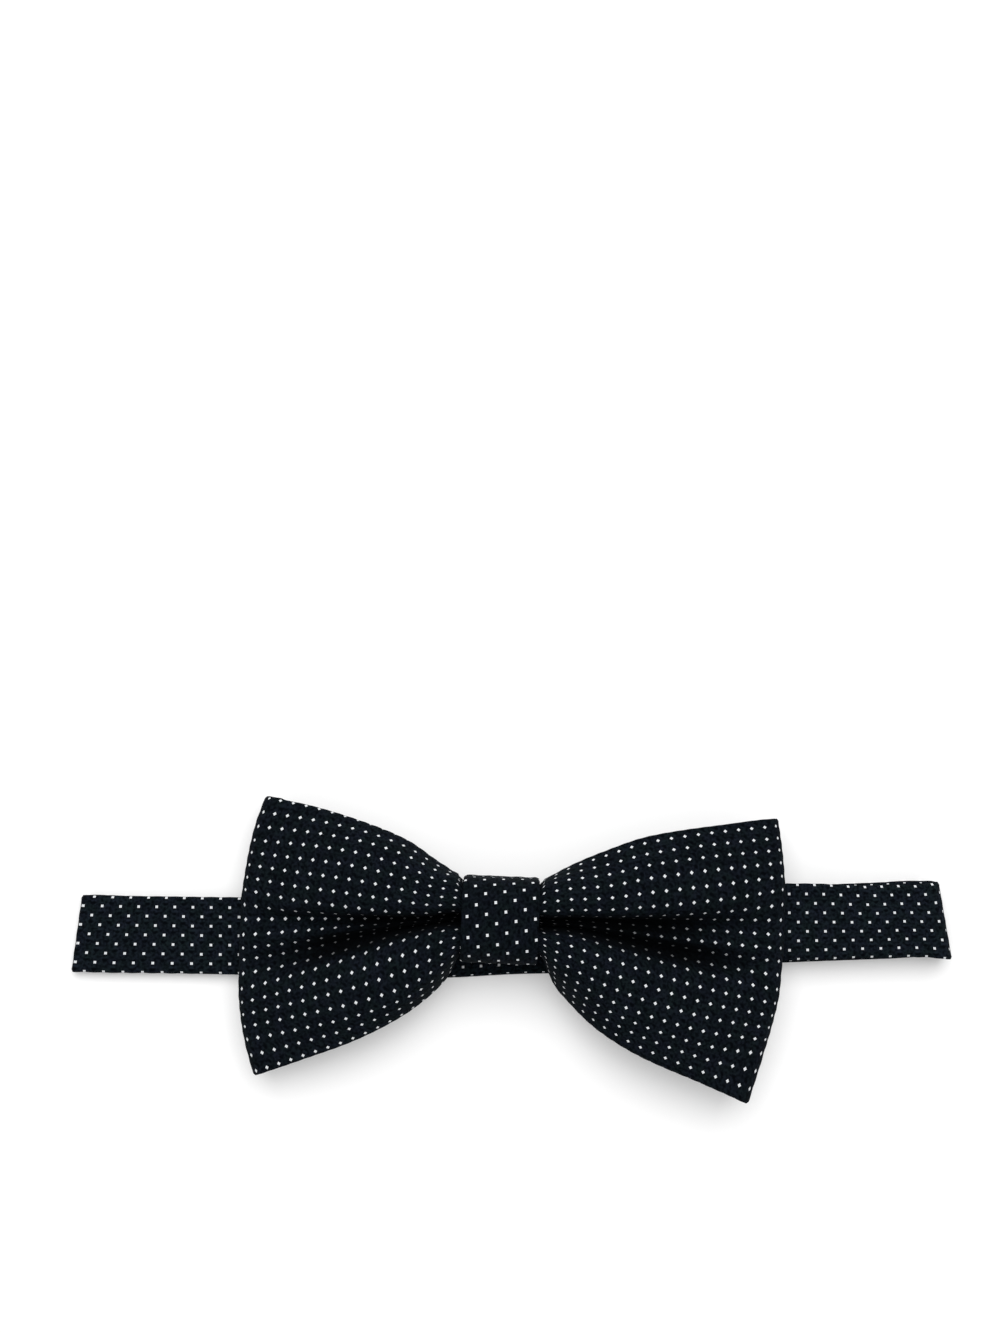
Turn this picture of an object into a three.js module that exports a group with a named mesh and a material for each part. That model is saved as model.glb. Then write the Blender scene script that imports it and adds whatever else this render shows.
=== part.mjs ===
// A pre-tied bow tie, lying on its back: the bow, the wrap round its middle, the neck band and its clasp.
// Millimetres. +X runs along the band, +Y is up on the wearer, +Z faces away from the wearer.
// The origin is on the underside of the neck band, below the knot.

import * as THREE from 'three';

// Driving dimensions
const CLOTH_THICK = 1.2;
const BAND_THICK = 1.3;
const WRAP_THICK = 1.3;
const PIECE_GAP = 0.3;
const BAND_WIDTH = 17.3;
const KNOT_WIDTH = 16.6;
const KNOT_TURN = THREE.MathUtils.degToRad(2.3);
const KNOT_HALF = 9;
const KNOT_FADE = 16;

// Helpers for smooth curves

function mix(a, b, share) {
  return a + (b - a) * share;
}

function ease(from, to, x) {
  const share = THREE.MathUtils.clamp((x - from) / (to - from), 0, 1);
  return share * share * (3 - 2 * share);
}

// A smooth function through the given values that never overshoots them
function through(places, values) {
  const last = places.length - 1;
  const steps = [];
  for (let k = 0; k < last; k++) {
    steps.push((values[k + 1] - values[k]) / (places[k + 1] - places[k]));
  }
  const slopes = [steps[0]];
  for (let k = 1; k < last; k++) {
    const turns = steps[k - 1] * steps[k] <= 0;
    slopes.push(turns ? 0 : (2 * steps[k - 1] * steps[k]) / (steps[k - 1] + steps[k]));
  }
  slopes.push(steps[last - 1]);
  return (x) => {
    const inside = THREE.MathUtils.clamp(x, places[0], places[last]);
    let k = 0;
    while (k < last - 1 && inside > places[k + 1]) {
      k += 1;
    }
    const width = places[k + 1] - places[k];
    const t = (inside - places[k]) / width;
    const rise = t * t * (3 - 2 * t);
    const leave = t * (1 - t) * (1 - t) * width * slopes[k];
    const arrive = t * t * (t - 1) * width * slopes[k + 1];
    return mix(values[k], values[k + 1], rise) + leave + arrive;
  };
}

// Helpers for meshes

// One closed solid between two faces of a cloth, each a grid of points with the same rows and columns
function clothSolid(outer, inner) {
  const rows = outer.length;
  const columns = outer[0].length;
  const last = columns - 1;
  const positions = [];
  for (const face of [outer, inner]) {
    for (const row of face) {
      for (const point of row) {
        positions.push(point.x, point.y, point.z);
      }
    }
  }
  const outside = (i, j) => i * columns + j;
  const inside = (i, j) => rows * columns + i * columns + j;
  const triangles = [];
  const quad = (a, b, c, d) => triangles.push(a, b, c, a, c, d);
  for (let i = 0; i + 1 < rows; i++) {
    for (let j = 0; j + 1 < columns; j++) {
      quad(outside(i, j), outside(i, j + 1), outside(i + 1, j + 1), outside(i + 1, j));
      quad(inside(i, j), inside(i + 1, j), inside(i + 1, j + 1), inside(i, j + 1));
    }
    quad(outside(i, 0), outside(i + 1, 0), inside(i + 1, 0), inside(i, 0));
    quad(outside(i + 1, last), outside(i, last), inside(i, last), inside(i + 1, last));
  }
  for (let j = 0; j + 1 < columns; j++) {
    quad(outside(0, j + 1), outside(0, j), inside(0, j), inside(0, j + 1));
    quad(outside(rows - 1, j), outside(rows - 1, j + 1), inside(rows - 1, j + 1), inside(rows - 1, j));
  }
  const geometry = new THREE.BufferGeometry();
  geometry.setAttribute('position', new THREE.Float32BufferAttribute(positions, 3));
  geometry.setIndex(triangles);
  geometry.computeVertexNormals();
  return geometry;
}

// The bow

// How much of the way to the next crease each crease is rounded
const creases = [
  { name: 'upper crown', round: 0.48, cells: 3 },
  { name: 'upper lip', round: 0.4, cells: 4 },
  { name: 'upper valley', round: 0.2, cells: 2 },
  { name: 'ridge', round: 0.25, cells: 3 },
  { name: 'lower valley', round: 0.2, cells: 2 },
  { name: 'lower lip', round: 0.4, cells: 4 },
  { name: 'lower crown', round: 0.48, cells: 3 },
];

// Each wing is a loop of cloth pleated at the knot. reach: how far each section is from the knot's middle.
// A row per edge or crease has its place y and z at each section, and in outer how far out its folded end is.
// back: the top, bottom and z of the loop's flat back panel at each section.
const wings = {
  left: {
    side: -1,
    reach: [6, 8.3, 9.0, 10.5, 12.5, 21, 32, 44, 52],
    folds: [
      {
        name: 'top edge',
        outer: 52.4,
        y: [11.2, 11.8, 14.0, 14.9, 16.4, 22.4, 26.7, 29.9, 31.3],
        z: [8.8, 8.8, 8.8, 8.8, 8.6, 7.8, 9.6, 10.8, 10.2],
      },
      {
        name: 'upper crown',
        outer: 55.5,
        y: [11.0, 11.6, 13.3, 13.8, 14.3, 18.0, 21.5, 23.0, 23.3],
        z: [16.2, 16.4, 16.3, 16.8, 17.2, 15.8, 14.6, 12.8, 10.9],
      },
      {
        name: 'upper lip',
        outer: 57.8,
        y: [6.4, 6.4, 6.4, 6.4, 6.3, 6.1, 6.6, 7.5, 9.0],
        z: [16.8, 17.0, 17.2, 17.4, 17.6, 17.4, 16.2, 13.8, 11.4],
      },
      {
        name: 'upper valley',
        outer: 58.2,
        y: [5.2, 5.2, 5.2, 5.2, 5.1, 4.6, 4.6, 4.8, 4.7],
        z: [8.1, 8.1, 8.1, 8.1, 8.1, 7.2, 6.8, 7.0, 8.8],
      },
      {
        name: 'ridge',
        outer: 58.4,
        y: [4.3, 4.3, 4.3, 4.3, 4.2, 3.4, 2.3, 0.7, -0.1],
        z: [10.6, 10.6, 10.6, 10.6, 10.6, 11.2, 11.0, 10.6, 10.4],
      },
      {
        name: 'lower valley',
        outer: 58.6,
        y: [3.4, 3.4, 3.4, 3.4, 3.3, 2.2, -0.6, -4.0, -5.6],
        z: [8.0, 8.0, 8.0, 8.0, 8.0, 7.1, 6.7, 6.9, 8.7],
      },
      {
        name: 'lower lip',
        outer: 58.5,
        y: [2.2, 2.2, 2.2, 2.2, 2.1, 0.2, -4.2, -8.6, -11.5],
        z: [16.6, 16.8, 16.9, 17.1, 17.2, 16.6, 15.4, 13.2, 11.2],
      },
      {
        name: 'lower crown',
        outer: 57.5,
        y: [-2.2, -2.6, -3.2, -4.6, -6.2, -12.2, -16.0, -19.0, -21.0],
        z: [16.0, 16.1, 16.2, 16.4, 16.6, 16.2, 15.2, 13.0, 11.1],
      },
      {
        name: 'bottom edge',
        outer: 55.1,
        y: [-2.6, -3.0, -4.0, -7.2, -10.2, -16.6, -22.1, -26.6, -29.6],
        z: [8.0, 7.9, 7.8, 7.6, 7.4, 11.8, 12.8, 11.8, 10.2],
      },
    ],
    back: {
      top: [11.0, 11.6, 12.9, 13.8, 15.2, 20.6, 25.2, 28.7, 30.7],
      bottom: [-2.4, -2.8, -3.6, -6.2, -8.8, -15.4, -20.9, -25.5, -28.8],
      z: [4.9, 4.9, 4.9, 4.8, 4.6, 4.2, 4.0, 3.8, 3.7],
    },
  },
  right: {
    side: 1,
    reach: [6, 8.9, 9.6, 10.8, 13, 22, 33, 48.5, 57],
    folds: [
      {
        name: 'top edge',
        outer: 61.6,
        y: [11.2, 11.8, 13.6, 14.2, 15.3, 19.3, 23.1, 25.5, 26.4],
        z: [9.0, 9.0, 9.0, 9.2, 9.4, 11.2, 13.2, 14.2, 13.4],
      },
      {
        name: 'upper crown',
        outer: 62.7,
        y: [11.0, 11.6, 12.8, 13.0, 13.3, 13.7, 16.0, 18.0, 18.5],
        z: [16.0, 16.3, 16.2, 16.6, 17.0, 17.0, 16.6, 15.4, 13.9],
      },
      {
        name: 'upper lip',
        outer: 63.2,
        y: [6.2, 6.2, 6.2, 6.1, 6.0, 5.8, 6.2, 7.8, 9.5],
        z: [16.8, 17.0, 17.2, 17.4, 17.7, 17.9, 17.3, 16.3, 14.4],
      },
      {
        name: 'upper valley',
        outer: 63.1,
        y: [5.0, 5.0, 5.0, 4.9, 4.7, 4.4, 4.0, 3.2, 2.7],
        z: [8.1, 8.2, 8.3, 8.4, 8.6, 8.3, 8.4, 9.8, 12.3],
      },
      {
        name: 'ridge',
        outer: 62.9,
        y: [4.1, 4.1, 4.0, 3.9, 3.6, 2.6, 1.0, -0.8, -1.6],
        z: [10.6, 10.6, 10.6, 10.7, 10.8, 12.0, 12.8, 13.5, 13.6],
      },
      {
        name: 'lower valley',
        outer: 62.6,
        y: [3.2, 3.1, 3.0, 2.9, 2.7, 1.0, -1.5, -4.8, -6.0],
        z: [8.0, 8.1, 8.2, 8.3, 8.5, 8.2, 8.3, 9.7, 12.3],
      },
      {
        name: 'lower lip',
        outer: 61.8,
        y: [2.2, 2.1, 2.0, 1.8, 1.5, -1.0, -4.8, -9.6, -12.0],
        z: [16.6, 16.8, 16.9, 17.1, 17.4, 17.6, 16.5, 15.3, 14.2],
      },
      {
        name: 'lower crown',
        outer: 59.0,
        y: [-2.2, -2.6, -3.1, -4.4, -6.4, -12.5, -17.5, -22.0, -23.0],
        z: [16.0, 16.2, 16.3, 16.6, 17.0, 17.4, 16.8, 15.4, 14.0],
      },
      {
        name: 'bottom edge',
        outer: 54.9,
        y: [-2.6, -3.1, -4.2, -7.4, -11.6, -20.0, -25.8, -31.6, -34.8],
        z: [8.0, 7.9, 7.9, 7.9, 8.2, 12.8, 15.2, 14.8, 13.4],
      },
    ],
    back: {
      top: [11.0, 11.6, 12.7, 13.2, 14.2, 18.1, 21.9, 24.7, 25.8],
      bottom: [-2.4, -2.8, -3.7, -6.4, -10.2, -18.6, -24.6, -30.7, -34.0],
      z: [4.9, 4.9, 5.1, 5.3, 5.7, 6.2, 6.4, 6.5, 6.6],
    },
  },
};

const UPPER_VALLEY = 3;
const LOWER_VALLEY = 5;

// Sections of both panels, as distances from the middle. Those of the outer front are shares of the reach.
const FRONT_REACHES_AT_KNOT = [2.5, 6, 8.3, 8.9, 9.5, 10.5, 12.5];
const FRONT_SHARES_BEYOND = [0.31, 0.385, 0.48, 0.6, 0.71, 0.83, 0.92, 1];
const BACK_REACHES = [47, 38, 28, 20, 14, 10.5, 8.5, 5, 0.5];
const TURN_CELLS = 5;
const OUTER_BEND = 3;
const SLOPE_STEP = 0.5;

// The pleats of the back panel are deepest at the knot
const BACK_PLEATS = 3;
const PLEAT_RISE = 0.5;
const PLEATS_FLATTEN = 40;
const BACK_JOIN_STARTS = 0.6;

// Under the ridge the cloth's layers meet where the valleys are this many thicknesses apart, and part beyond
const BRIDGE_CLOSED = 2;
const BRIDGE_OPEN = 5;

for (const wing of Object.values(wings)) {
  wing.last = wing.reach[wing.reach.length - 1];
  for (const fold of wing.folds) {
    fold.yAt = through(wing.reach, fold.y);
    fold.zAt = through(wing.reach, fold.z);
  }
  wing.backTop = through(wing.reach, wing.back.top);
  wing.backBottom = through(wing.reach, wing.back.bottom);
  wing.backZ = through(wing.reach, wing.back.z);
}

// The samples of a section: both edges, and a few along the rounding of each crease
function sectionSteps() {
  const steps = [{ fold: 0 }];
  creases.forEach((crease, index) => {
    for (let n = 0; n <= crease.cells; n++) {
      steps.push({ fold: index + 1, round: crease.round, along: n / crease.cells });
    }
  });
  steps.push({ fold: creases.length + 1 });
  return steps;
}

const STEPS = sectionSteps();

// The point of one step, on the section whose corners are given, as a rounded polygon
function rounded(corners, step) {
  const corner = corners[step.fold];
  if (step.round === undefined) {
    return corner.clone();
  }
  const enter = corner.clone().lerp(corners[step.fold - 1], step.round);
  const leave = corner.clone().lerp(corners[step.fold + 1], step.round);
  const first = enter.clone().lerp(corner, step.along);
  const second = corner.clone().lerp(leave, step.along);
  return first.lerp(second, step.along);
}

// The pleats turn with the knot near the middle
function turnedWithKnot(x, y) {
  return y - x * Math.tan(KNOT_TURN) * (1 - ease(KNOT_HALF, KNOT_FADE, Math.abs(x)));
}

// The outer face of the front panel at one distance from the middle, as points across the cloth
function frontFace(wing, reach) {
  const corners = wing.folds.map((fold) => {
    const share = reach / wing.last;
    const turnRadius = (fold.zAt(wing.last) - wing.backZ(wing.last)) / 2;
    const bend = (fold.outer - turnRadius - wing.last) * share ** OUTER_BEND;
    const x = wing.side * (reach + bend);
    return new THREE.Vector3(x, turnedWithKnot(x, fold.yAt(reach)), fold.zAt(reach));
  });
  return STEPS.map((step) => rounded(corners, step));
}

// The cloth's other face: the outer face moved in by the thickness, and flat below the ridge near the knot
function innerFace(outer, thickness) {
  const shifted = outer.map((point, j) => {
    const before = outer[Math.max(j - 1, 0)];
    const after = outer[Math.min(j + 1, outer.length - 1)];
    const along = new THREE.Vector2(after.y - before.y, after.z - before.z).normalize();
    return new THREE.Vector3(point.x, point.y - along.y * thickness, point.z + along.x * thickness);
  });
  const middleOf = (fold) => STEPS.findIndex((step) => step.fold === fold && step.along === 0.5);
  const start = middleOf(UPPER_VALLEY);
  const end = middleOf(LOWER_VALLEY);
  const width = outer[start].y - outer[end].y;
  const open = ease(BRIDGE_CLOSED * thickness, BRIDGE_OPEN * thickness, width);
  const floor = Math.min(outer[start].z, outer[end].z) - thickness;
  return shifted.map((point, j) => {
    if (j < start || j > end) {
      return point;
    }
    const share = (j - start) / (end - start);
    const y = mix(outer[start].y, outer[end].y, share);
    return new THREE.Vector3(point.x, mix(y, point.y, open), mix(floor, point.z, open));
  });
}

// Both faces of the back panel at one distance from the middle
function backFaces(wing, reach) {
  const lastFront = frontFace(wing, wing.last);
  const top = wing.backTop(reach);
  const bottom = wing.backBottom(reach);
  const joined = ease(BACK_JOIN_STARTS * wing.last, wing.last, reach);
  const pleat = PLEAT_RISE * (1 - ease(0, PLEATS_FLATTEN, reach));
  const first = lastFront[0];
  const end = lastFront[lastFront.length - 1];
  const outer = lastFront.map((point) => {
    const share = (first.y - point.y) / (first.y - end.y);
    const x = mix(wing.side * reach, point.x, joined);
    const y = mix(mix(top, bottom, share), point.y, joined);
    const rise = pleat * 0.5 * (1 - Math.cos(2 * Math.PI * BACK_PLEATS * share));
    return new THREE.Vector3(x, turnedWithKnot(x, y), wing.backZ(reach) + rise);
  });
  const inner = outer.map((point) => new THREE.Vector3(point.x, point.y, point.z + CLOTH_THICK));
  return { outer, inner };
}

// One wing from the middle of its front panel, round its folded end, to the end of its back panel
function wingFaces(wing) {
  const reaches = [...FRONT_REACHES_AT_KNOT, ...FRONT_SHARES_BEYOND.map((share) => share * wing.last)];
  const faces = reaches.map((reach) => {
    const outer = frontFace(wing, reach);
    return { outer, inner: innerFace(outer, CLOTH_THICK) };
  });
  const front = faces[faces.length - 1];
  const before = frontFace(wing, wing.last - SLOPE_STEP);
  const slopes = front.outer.map((point, j) => (point.y - before[j].y) / Math.abs(point.x - before[j].x));
  const back = backFaces(wing, wing.last);
  for (let n = 1; n < TURN_CELLS; n++) {
    const share = n / TURN_CELLS;
    const angle = share * Math.PI;
    const turnOf = (face) =>
      front[face].map((start, j) => {
        const end = back[face][j];
        const radius = (start.z - end.z) / 2;
        const out = radius * Math.sin(angle);
        const y = mix(start.y, end.y, share) + slopes[j] * out;
        const z = (start.z + end.z) / 2 + radius * Math.cos(angle);
        return new THREE.Vector3(start.x + wing.side * out, y, z);
      });
    faces.push({ outer: turnOf('outer'), inner: turnOf('inner') });
  }
  faces.push(back);
  for (const reach of BACK_REACHES) {
    faces.push(backFaces(wing, reach));
  }
  return faces;
}

function bow() {
  const left = wingFaces(wings.left).reverse();
  const right = wingFaces(wings.right);
  const faces = [...left, ...right];
  return clothSolid(
    faces.map((face) => face.outer),
    faces.map((face) => face.inner),
  );
}

// The wrap round the knot

// Its inner outline: a closed rounded rectangle round the pleats, the band and the back panel
const WRAP = { low: -3.7, high: 12.4, back: 3.0, front: 17.7 };
const WRAP_RADII = { highFront: 5.5, lowFront: 4.5, lowBack: 0.8, highBack: 0.8 };
const WRAP_CORNER_CELLS = 6;
const WRAP_ROUNDS = 4;
const WRAP_CROWN = 0.25;

// Points round the wrap's inner outline moved out by some distance, as y and z. Each corner turns a quarter.
function wrapOutline(out) {
  const corners = [
    { y: WRAP.high, z: WRAP.front, radius: WRAP_RADII.highFront, inY: -1, inZ: -1, quarter: 0 },
    { y: WRAP.low, z: WRAP.front, radius: WRAP_RADII.lowFront, inY: 1, inZ: -1, quarter: 1 },
    { y: WRAP.low, z: WRAP.back, radius: WRAP_RADII.lowBack, inY: 1, inZ: 1, quarter: 2 },
    { y: WRAP.high, z: WRAP.back, radius: WRAP_RADII.highBack, inY: -1, inZ: 1, quarter: 3 },
  ];
  const points = [];
  for (const corner of corners) {
    for (let n = 0; n <= WRAP_CORNER_CELLS; n++) {
      const angle = ((corner.quarter + n / WRAP_CORNER_CELLS) * Math.PI) / 2;
      const radius = corner.radius + out;
      points.push({
        y: corner.y + corner.inY * corner.radius + radius * Math.cos(angle),
        z: corner.z + corner.inZ * corner.radius + radius * Math.sin(angle),
      });
    }
  }
  return points;
}

function knotWrap() {
  const inner = wrapOutline(0);
  const outer = wrapOutline(WRAP_THICK);
  const count = inner.length;
  const middle = (WRAP.low + WRAP.high) / 2;
  const positions = [];
  // Rings: outer ones from left to right, then inner ones from right to left
  const rings = [];
  for (let n = 0; n <= WRAP_ROUNDS; n++) {
    const share = n / WRAP_ROUNDS;
    const crown = WRAP_CROWN * (1 - (2 * share - 1) ** 2);
    rings.push({ x: mix(-0.5, 0.5, share) * KNOT_WIDTH, outline: outer, crown });
  }
  for (let n = WRAP_ROUNDS; n >= 0; n--) {
    rings.push({ x: mix(-0.5, 0.5, n / WRAP_ROUNDS) * KNOT_WIDTH, outline: inner, crown: 0 });
  }
  for (const ring of rings) {
    for (const point of ring.outline) {
      const lift = point.z > WRAP.front ? ring.crown : 0;
      const x = ring.x * Math.cos(KNOT_TURN) + (point.y - middle) * Math.sin(KNOT_TURN);
      const y = middle - ring.x * Math.sin(KNOT_TURN) + (point.y - middle) * Math.cos(KNOT_TURN);
      positions.push(x, y, point.z + lift);
    }
  }
  const triangles = [];
  for (let r = 0; r < rings.length; r++) {
    const next = (r + 1) % rings.length;
    for (let n = 0; n < count; n++) {
      const m = (n + 1) % count;
      triangles.push(r * count + n, r * count + m, next * count + m);
      triangles.push(r * count + n, next * count + m, next * count + n);
    }
  }
  const geometry = new THREE.BufferGeometry();
  geometry.setAttribute('position', new THREE.Float32BufferAttribute(positions, 3));
  geometry.setIndex(triangles);
  geometry.computeVertexNormals();
  return geometry;
}

// The clasp: a flat slide with two windows, hidden behind the right wing

const CLASP = {
  left: 24,
  right: 38,
  middleY: 0.6,
  height: 21,
  bottom: 1.6,
  thick: 0.8,
  bar: 2,
  rim: 1.2,
  corner: 1.5,
  windowCorner: 0.4,
  cornerCells: 3,
};

// Adds a rectangle with round corners to a path, counterclockwise
function roundedRectangle(path, left, right, low, high, corner) {
  path.absarc(right - corner, low + corner, corner, -Math.PI / 2, 0);
  path.absarc(right - corner, high - corner, corner, 0, Math.PI / 2);
  path.absarc(left + corner, high - corner, corner, Math.PI / 2, Math.PI);
  path.absarc(left + corner, low + corner, corner, Math.PI, 1.5 * Math.PI);
}

function clasp() {
  const half = CLASP.height / 2;
  const middle = (CLASP.left + CLASP.right) / 2;
  const plate = new THREE.Shape();
  roundedRectangle(plate, CLASP.left, CLASP.right, -half, half, CLASP.corner);
  const windows = [
    { from: CLASP.left + CLASP.bar, to: middle - CLASP.bar / 2, edge: half - CLASP.rim },
    { from: middle + CLASP.bar / 2, to: CLASP.right - CLASP.bar, edge: half - CLASP.rim },
  ];
  for (const { from, to, edge } of windows) {
    const hole = new THREE.Path();
    roundedRectangle(hole, from, to, -edge, edge, CLASP.windowCorner);
    plate.holes.push(hole);
  }
  const geometry = new THREE.ExtrudeGeometry(plate, {
    depth: CLASP.thick,
    bevelEnabled: false,
    curveSegments: CLASP.cornerCells,
  });
  geometry.translate(0, CLASP.middleY, CLASP.bottom);
  return geometry;
}

// The neck band

// Its layers lie on each other. Rows from the left fold to the right fold: x, the height y of the
// centreline, z of the lower face, the width and how far the middle arches above the edges.
const frontLayer = [
  { x: -90, y: 0.4, z: 1.8, width: 17.3, arch: 0 },
  { x: -78, y: 0.3, z: 1.9, width: 17.3, arch: 0 },
  { x: -59, y: 0.1, z: 2.0, width: 17.3, arch: 0 },
  { x: -40, y: 0.6, z: 2.2, width: 17.3, arch: 0 },
  { x: -24, y: 1.8, z: 2.4, width: 16.8, arch: 0 },
  { x: -13, y: 3.6, z: 2.9, width: 14.8, arch: 0 },
  { x: -9, y: 4.4, z: 3.35, width: 14.0, arch: 0 },
  { x: 0, y: 4.1, z: 3.35, width: 14.0, arch: 0 },
  { x: 9, y: 3.8, z: 3.35, width: 14.0, arch: 0 },
  { x: 14, y: 3.4, z: 4.1, width: 15.4, arch: 0 },
  { x: 20, y: 3.2, z: 4.5, width: 16.6, arch: 0 },
  { x: 33, y: 3.1, z: 4.6, width: 17.3, arch: 0 },
  { x: 48, y: 3.2, z: 4.7, width: 17.3, arch: 0 },
  { x: 60, y: 3.4, z: 4.9, width: 17.2, arch: 0.1 },
  { x: 72, y: 3.6, z: 5.7, width: 16.9, arch: 0.5 },
  { x: 82, y: 3.6, z: 6.1, width: 16.0, arch: 1.0 },
  { x: 91, y: 3.9, z: 6.2, width: 16.0, arch: 0.8 },
];
const backLayer = [
  { x: -90, y: 0.4 },
  { x: -59, y: -0.3 },
  { x: -15, y: -1.0 },
  { x: 5, y: -0.1 },
  { x: 22, y: 0.2 },
  { x: 40, y: 1.2 },
  { x: 63, y: 2.4 },
  { x: 91, y: 3.5 },
];
const LEFT_FOLD = { x: -96.4, y: 0.55, slant: 0.14 };
const RIGHT_FOLD = { x: 100.6, y: 3.75, slant: -0.173, arch: 0.5 };
const SLANT_STARTS = 60;
const HEM_LENGTH = 6;
const HEM_SLACK = 0.1;
const ENDS_TURN_CELLS = 6;
const HEM_TURN_CELLS = 4;
const BAND_CELLS = 4;

// Where the layers have their sections, in the order in which the band runs
const BACK_STOPS_TO_LEFT = [15, 5, -5, -20, -40, -60, -75, -90];
const FRONT_STOPS_TO_KNOT = [-90, -75, -59, -45, -32, -24, -18, -13, -9, -3, 3, 9];
const FRONT_STOPS_TO_RIGHT = [11.5, 14, 17, 20, 26, 33, 42, 51, 60, 66, 72, 77, 82, 87, 91];
const BACK_STOPS_FROM_RIGHT = [84, 74, 63, 50];

function column(table, name) {
  return through(table.map((row) => row.x), table.map((row) => row[name]));
}

const frontY = column(frontLayer, 'y');
const frontZ = column(frontLayer, 'z');
const frontWidth = column(frontLayer, 'width');
const frontArch = column(frontLayer, 'arch');
const backY = column(backLayer, 'y');

// The band's path from the clasp, leftwards below, rightwards above, and leftwards below again.
// Each stop has the place of the face that is outside the loop, and of the face that is inside it.
function bandStops() {
  const stops = [];
  const flat = (x, y, low, width, arch, outsideUp) => {
    const high = low + BAND_THICK;
    stops.push({
      outside: { x, z: outsideUp ? high : low },
      inside: { x, z: outsideUp ? low : high },
      y,
      width,
      arch,
    });
  };
  // A half turn clockwise about a point, seen from the front of the loop's section
  const turn = (x, z, inner, y, cells, startAngle) => {
    for (let n = 1; n < cells; n++) {
      const angle = startAngle - (Math.PI * n) / cells;
      const at = (radius) => ({ x: x + radius * Math.cos(angle), z: z + radius * Math.sin(angle) });
      stops.push({ outside: at(inner + BAND_THICK), inside: at(inner), y, width: BAND_WIDTH, arch: 0 });
    }
  };
  const leftBar = CLASP.left + CLASP.bar - HEM_SLACK;
  const rightBar = CLASP.right - CLASP.bar + HEM_SLACK;
  const hemLow = CLASP.bottom + CLASP.thick + PIECE_GAP;
  const hemTurn = (hemLow - BAND_THICK) / 2;
  const hemMiddle = BAND_THICK + hemTurn;
  const yLeft = backY(leftBar);
  const yRight = backY(rightBar);

  // The hem over the clasp's left bar, and the turn down round it
  flat(leftBar - HEM_LENGTH, yLeft, hemLow, BAND_WIDTH, 0, true);
  flat(leftBar, yLeft, hemLow, BAND_WIDTH, 0, true);
  turn(leftBar, hemMiddle, hemTurn, yLeft, HEM_TURN_CELLS, Math.PI / 2);
  flat(leftBar, yLeft, 0, BAND_WIDTH, 0, false);

  // The back layer, leftwards
  for (const x of BACK_STOPS_TO_LEFT) {
    flat(x, backY(x), 0, BAND_WIDTH, 0, false);
  }

  // The tight fold at the left end
  const leftHigh = frontZ(LEFT_FOLD.x);
  const leftInner = (leftHigh - BAND_THICK) / 2;
  const leftCentre = LEFT_FOLD.x + leftInner + BAND_THICK;
  const leftMiddle = BAND_THICK + leftInner;
  flat(leftCentre, LEFT_FOLD.y, 0, BAND_WIDTH, 0, false);
  turn(leftCentre, leftMiddle, leftInner, LEFT_FOLD.y, ENDS_TURN_CELLS, 1.5 * Math.PI);
  flat(leftCentre, LEFT_FOLD.y, leftHigh, BAND_WIDTH, 0, true);

  // The front layer, rightwards
  for (const x of [...FRONT_STOPS_TO_KNOT, ...FRONT_STOPS_TO_RIGHT]) {
    flat(x, frontY(x), frontZ(x), frontWidth(x), frontArch(x), true);
  }

  // The soft fold at the right end
  const rightHigh = frontZ(RIGHT_FOLD.x);
  const rightInner = (rightHigh - BAND_THICK) / 2;
  const rightCentre = RIGHT_FOLD.x - rightInner - BAND_THICK;
  const rightMiddle = BAND_THICK + rightInner;
  flat(rightCentre, RIGHT_FOLD.y, rightHigh, frontWidth(rightCentre), RIGHT_FOLD.arch, true);
  turn(rightCentre, rightMiddle, rightInner, RIGHT_FOLD.y, ENDS_TURN_CELLS, Math.PI / 2);
  flat(rightCentre, RIGHT_FOLD.y, 0, BAND_WIDTH, 0, false);

  // The back layer again, leftwards to the clasp
  for (const x of BACK_STOPS_FROM_RIGHT) {
    flat(x, backY(x), 0, BAND_WIDTH, 0, false);
  }
  flat(rightBar, yRight, 0, BAND_WIDTH, 0, false);
  turn(rightBar, hemMiddle, hemTurn, yRight, HEM_TURN_CELLS, 1.5 * Math.PI);
  flat(rightBar, yRight, hemLow, BAND_WIDTH, 0, true);
  flat(rightBar + HEM_LENGTH, yRight, hemLow, BAND_WIDTH, 0, true);
  return stops;
}

function slantAt(x) {
  const fold = x < 0 ? LEFT_FOLD : RIGHT_FOLD;
  return fold.slant * ease(SLANT_STARTS, Math.abs(fold.x), Math.abs(x));
}

function neckBand() {
  const stops = bandStops();
  const face = (name) =>
    stops.map((stop) => {
      const points = [];
      for (let n = 0; n <= BAND_CELLS; n++) {
        const across = 0.5 - n / BAND_CELLS;
        const x = stop[name].x + slantAt(stop[name].x) * across * stop.width;
        const drop = stop.arch * 4 * across * across;
        points.push(new THREE.Vector3(x, stop.y + across * stop.width, stop[name].z + stop.arch - drop));
      }
      return points;
    });
  return clothSolid(face('outside'), face('inside'));
}

// The assembly

const cloth = { roughness: 0.92, metalness: 0 };
const parts = [
  { name: 'bow', geometry: bow(), material: { color: 0x0b1016, ...cloth } },
  { name: 'knot_wrap', geometry: knotWrap(), material: { color: 0x0d131a, ...cloth } },
  { name: 'neck_band', geometry: neckBand(), material: { color: 0x0a0e14, ...cloth } },
  { name: 'band_clasp', geometry: clasp(), material: { color: 0xb9bcc2, roughness: 0.35, metalness: 1 } },
];

const bowTie = new THREE.Group();
for (const part of parts) {
  const mesh = new THREE.Mesh(part.geometry, new THREE.MeshStandardMaterial(part.material));
  mesh.name = part.name;
  bowTie.add(mesh);
}

export default bowTie;
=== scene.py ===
"""A pre-tied bow tie of pin-dot cloth, dressed for a render from above.

Lengths in the tables are millimetres: x to the right, y to the top of the picture, z up from the surface.
"""

import math

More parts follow.
